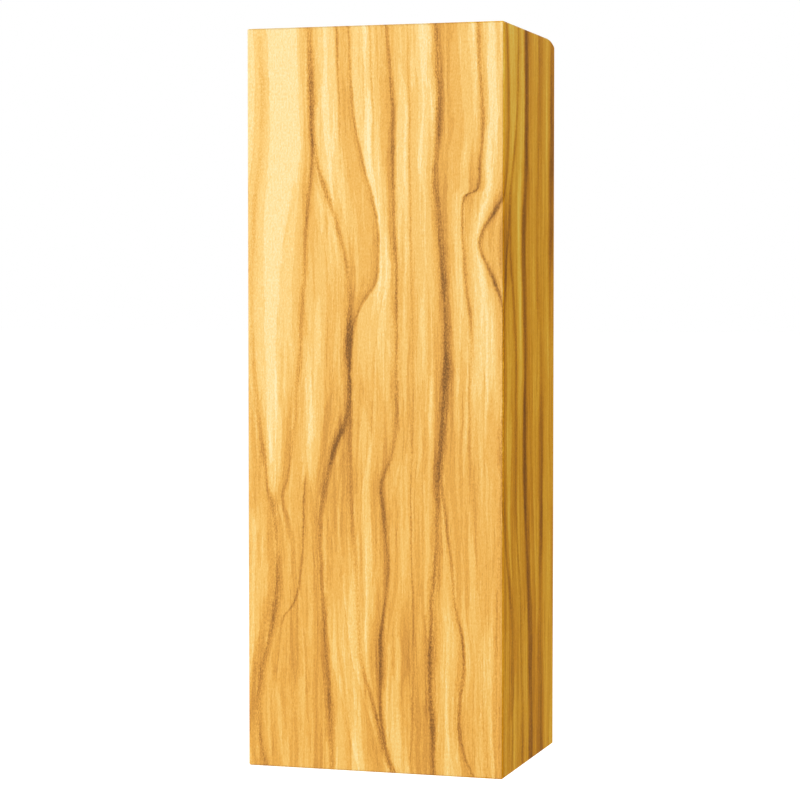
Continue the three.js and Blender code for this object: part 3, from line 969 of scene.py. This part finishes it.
def moulded_cap(name, node, upside_down, finish):
    """A push-on cap with a dished end, the moulding gate in its middle, grip ribs and a bead at its rim."""
    low, high = size_of(node)
    centre = ((low.x + high.x) / 2, (low.y + high.y) / 2, high.z if upside_down else low.z)
    outer, length = (high.x - low.x) / 2, high.z - low.z
    inner, end, dish = outer - 0.7, 1.0, 0.25
    rib_count, rib_depth = 36, 0.1
    ribs_from, ribs_to = 1.0, length - 1.25
    turn = -1 if upside_down else 1
    corners = [
        (0, 0.0, 0), (0.7, 0.0, 0), (0.8, dish, 0), (outer - 2.2, dish, 0), (outer - 2.0, 0, 0),
        (outer, 0, 0.5), (outer, length - 1.3, 0), (outer - 0.12, length - 1.1, 0),
        (outer, length - 0.9, 0), (outer, length, 0.25), (inner, length, 0.25), (inner, end, 0.2),
        (0, end, 0)]
    profile = [(r, turn * z) for r, z in profile_of(corners)]

    def on_side(radius):
        return abs(radius - outer) < 0.01

    def ribs(angle, radius, z):
        if not on_side(radius) or not ribs_from < turn * z < ribs_to:
            return radius
        return radius - rib_depth * (0.5 + 0.5 * math.cos(angle * rib_count))

    # Rows between the corners let the grip ribs start and stop.
    rows = []
    for (r0, z0), (r1, z1) in zip(profile, profile[1:] + profile[:1]):
        rows.append((r0, z0))
        if on_side(r0) and on_side(r1) and abs(z1 - z0) > 3:
            onward = 1 if z1 > z0 else -1
            rows += [(outer, z) for z in (z0 + onward * 0.75, z0 + onward, z1 - onward * 0.6,
                                          z1 - onward * 0.3)]
    points, faces = revolve(rows, centre, sides=144, wave=ribs)
    piece(name, points, faces, finish, "scroll_holder", "natural_plastic", node)


def clear_tube(finish):
    """A length of thin-walled tube with softened ends."""
    low, high = size_of("scroll_tube")
    centre = ((low.x + high.x) / 2, (low.y + high.y) / 2, low.z)
    radius, length = (high.x - low.x) / 2, high.z - low.z
    inner = radius - 0.6
    profile = profile_of([(inner, 0, 0.25), (radius, 0, 0.25), (radius, length, 0.25),
                          (inner, length, 0.25)])
    points, faces = revolve(profile, centre)
    piece("tube_clear", points, faces, finish, "scroll_holder", "clear_plastic", "scroll_tube")


def rolled_scroll(finish):
    """A strip of parchment rolled up tight, its turns not quite even and its edges hand cut."""
    low, high = size_of("parchment_scroll")
    tube_low, tube_high = size_of("scroll_tube")
    cx, cy = (tube_low.x + tube_high.x) / 2, (tube_low.y + tube_high.y) / 2
    turns, thickness = 4.0, 0.35
    first_radius, turn_gap = 2.05, 0.9
    first_angle = math.radians(-55)
    bottom, tall = low.z + 0.5, high.z - low.z - 1.0
    steps, levels = 260, 26
    points, faces = [], []
    for i in range(steps + 1):
        share = i / steps
        angle = 2 * math.pi * turns * share + first_angle
        base = first_radius + turn_gap * turns * share
        cut_low = 0.25 * math.sin(angle * 0.713) + 0.15 * math.sin(1.7 + angle * 0.61)
        cut_high = 0.3 * math.sin(angle * 0.37)
        for level in range(levels + 1):
            lift = level / levels
            z = bottom + cut_low * (1 - lift) + (tall + cut_high * lift) * lift
            sway = 0.06 * math.sin(angle + lift * 5.0) + 0.04 * math.sin(angle * 2.3 - lift * 9.0)
            curl = 0.12 * share * (math.exp(-lift * 30) + math.exp(-(1 - lift) * 30))
            for r in (base + sway - curl, base + sway - curl + thickness):
                points.append((cx + r * math.cos(angle), cy + r * math.sin(angle), z))

    def at(i, level, outside):
        return (i * (levels + 1) + level) * 2 + outside

    for i in range(steps):
        j = i + 1
        for level in range(levels):
            up = level + 1
            faces.append([at(i, level, 0), at(i, up, 0), at(j, up, 0), at(j, level, 0)])
            faces.append([at(i, level, 1), at(j, level, 1), at(j, up, 1), at(i, up, 1)])
        faces.append([at(i, 0, 0), at(j, 0, 0), at(j, 0, 1), at(i, 0, 1)])
        faces.append([at(i, levels, 0), at(i, levels, 1), at(j, levels, 1), at(j, levels, 0)])
    for level in range(levels):
        up = level + 1
        faces.append([at(0, level, 0), at(0, level, 1), at(0, up, 1), at(0, up, 0)])
        faces.append([at(steps, level, 0), at(steps, up, 0), at(steps, up, 1), at(steps, level, 1)])
    piece("scroll_rolled", points, faces, finish, "scroll_holder", "parchment", "parchment_scroll")


# ---------------------------------------------------------------- the whole object
block_wood = olive_wood("olive_wood_block")
plate_wood = olive_wood("olive_wood_plate", shift=(10.0, -30.0, 4.0), flip=True, tone=0.05)
plug_wood = olive_wood("olive_wood_plug", shift=(8.0, 6.0, 20.0), tone=0.03)
brass = screw_brass()
white_plastic = cap_plastic()
clear_plastic = tube_plastic()
parchment = parchment_skin()

wooden("case_body", block_wood, 0.12)
wooden("back_plate", plate_wood, 0.3)
wood_screw("screw_upper", "upper_mounting_screw", brass)
wood_screw("screw_lower", "lower_mounting_screw", brass)
turned_plug(plug_wood)
moulded_cap("cap_lower", "lower_tube_cap", False, white_plastic)
moulded_cap("cap_upper", "upper_tube_cap", True, white_plastic)
clear_tube(clear_plastic)
rolled_scroll(parchment)
